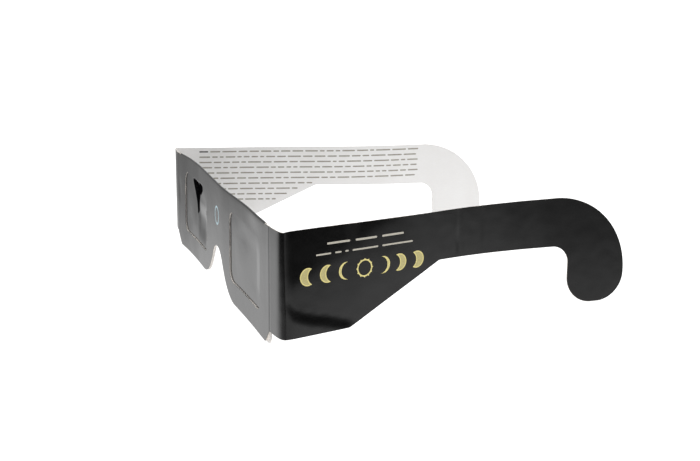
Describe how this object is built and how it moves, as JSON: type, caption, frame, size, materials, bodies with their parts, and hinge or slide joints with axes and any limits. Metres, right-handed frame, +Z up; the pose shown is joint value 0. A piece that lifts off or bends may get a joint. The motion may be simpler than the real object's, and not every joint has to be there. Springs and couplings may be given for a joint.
{
  "type": "eclipse glasses",
  "caption": "Folding card glasses for watching a solar eclipse: dark film panes held between two card plies, with creased side strips and hooked temples.",
  "frame": {"origin": "middle of the bridge, on the front's outer face, level with the centres of the eye windows", "axes": "+Z up; -Y the way the wearer looks, square to the front; +X towards the wearer's left"},
  "size_m": [0.1524, 0.128, 0.0366],
  "materials": {
    "printed_card": "black printed coat with a soft gloss, white inside",
    "bare_card": "uncoated white inner face and cut edges",
    "gold_print": "pale khaki gold print under the coat",
    "blue_print": "pale blue print under the coat",
    "grey_print": "plain grey print bars",
    "solar_film": "nearly opaque black film, slightly wavy",
    "glue": "dry adhesive, hidden"
  },
  "bodies": {
    "front": {"front_ply": "printed_card", "top_fold": "printed_card", "rear_ply": "printed_card", "glue_layer": "glue", "left_pane": "solar_film", "right_pane": "solar_film"},
    "left_strip": {"left_front_crease": "printed_card", "left_strip": "printed_card"},
    "left_temple": {"left_temple_crease": "printed_card", "left_temple": "printed_card"},
    "right_strip": {"right_front_crease": "printed_card", "right_strip": "printed_card"},
    "right_temple": {"right_temple_crease": "printed_card", "right_temple": "printed_card"}
  },
  "joints": [
    {"name": "left_front_fold", "type": "hinge", "parent": "front", "child": "left_strip", "pos_m": [0.067, 0.0002, 0], "axis": [0, 0, 1], "range_deg": [-6, 78]},
    {"name": "left_temple_fold", "type": "hinge", "parent": "left_strip", "child": "left_temple", "pos_m": [0.07595, 0.00114, 0], "axis": [0, 0, 1], "range_deg": [-98.3, 3.7]},
    {"name": "right_front_fold", "type": "hinge", "parent": "front", "child": "right_strip", "pos_m": [-0.067, 0.0002, 0], "axis": [0, 0, -1], "range_deg": [-6, 78]},
    {"name": "right_temple_fold", "type": "hinge", "parent": "right_strip", "child": "right_temple", "pos_m": [-0.07595, 0.00114, 0], "axis": [0, 0, -1], "range_deg": [-98.3, 0.7]}
  ]
}
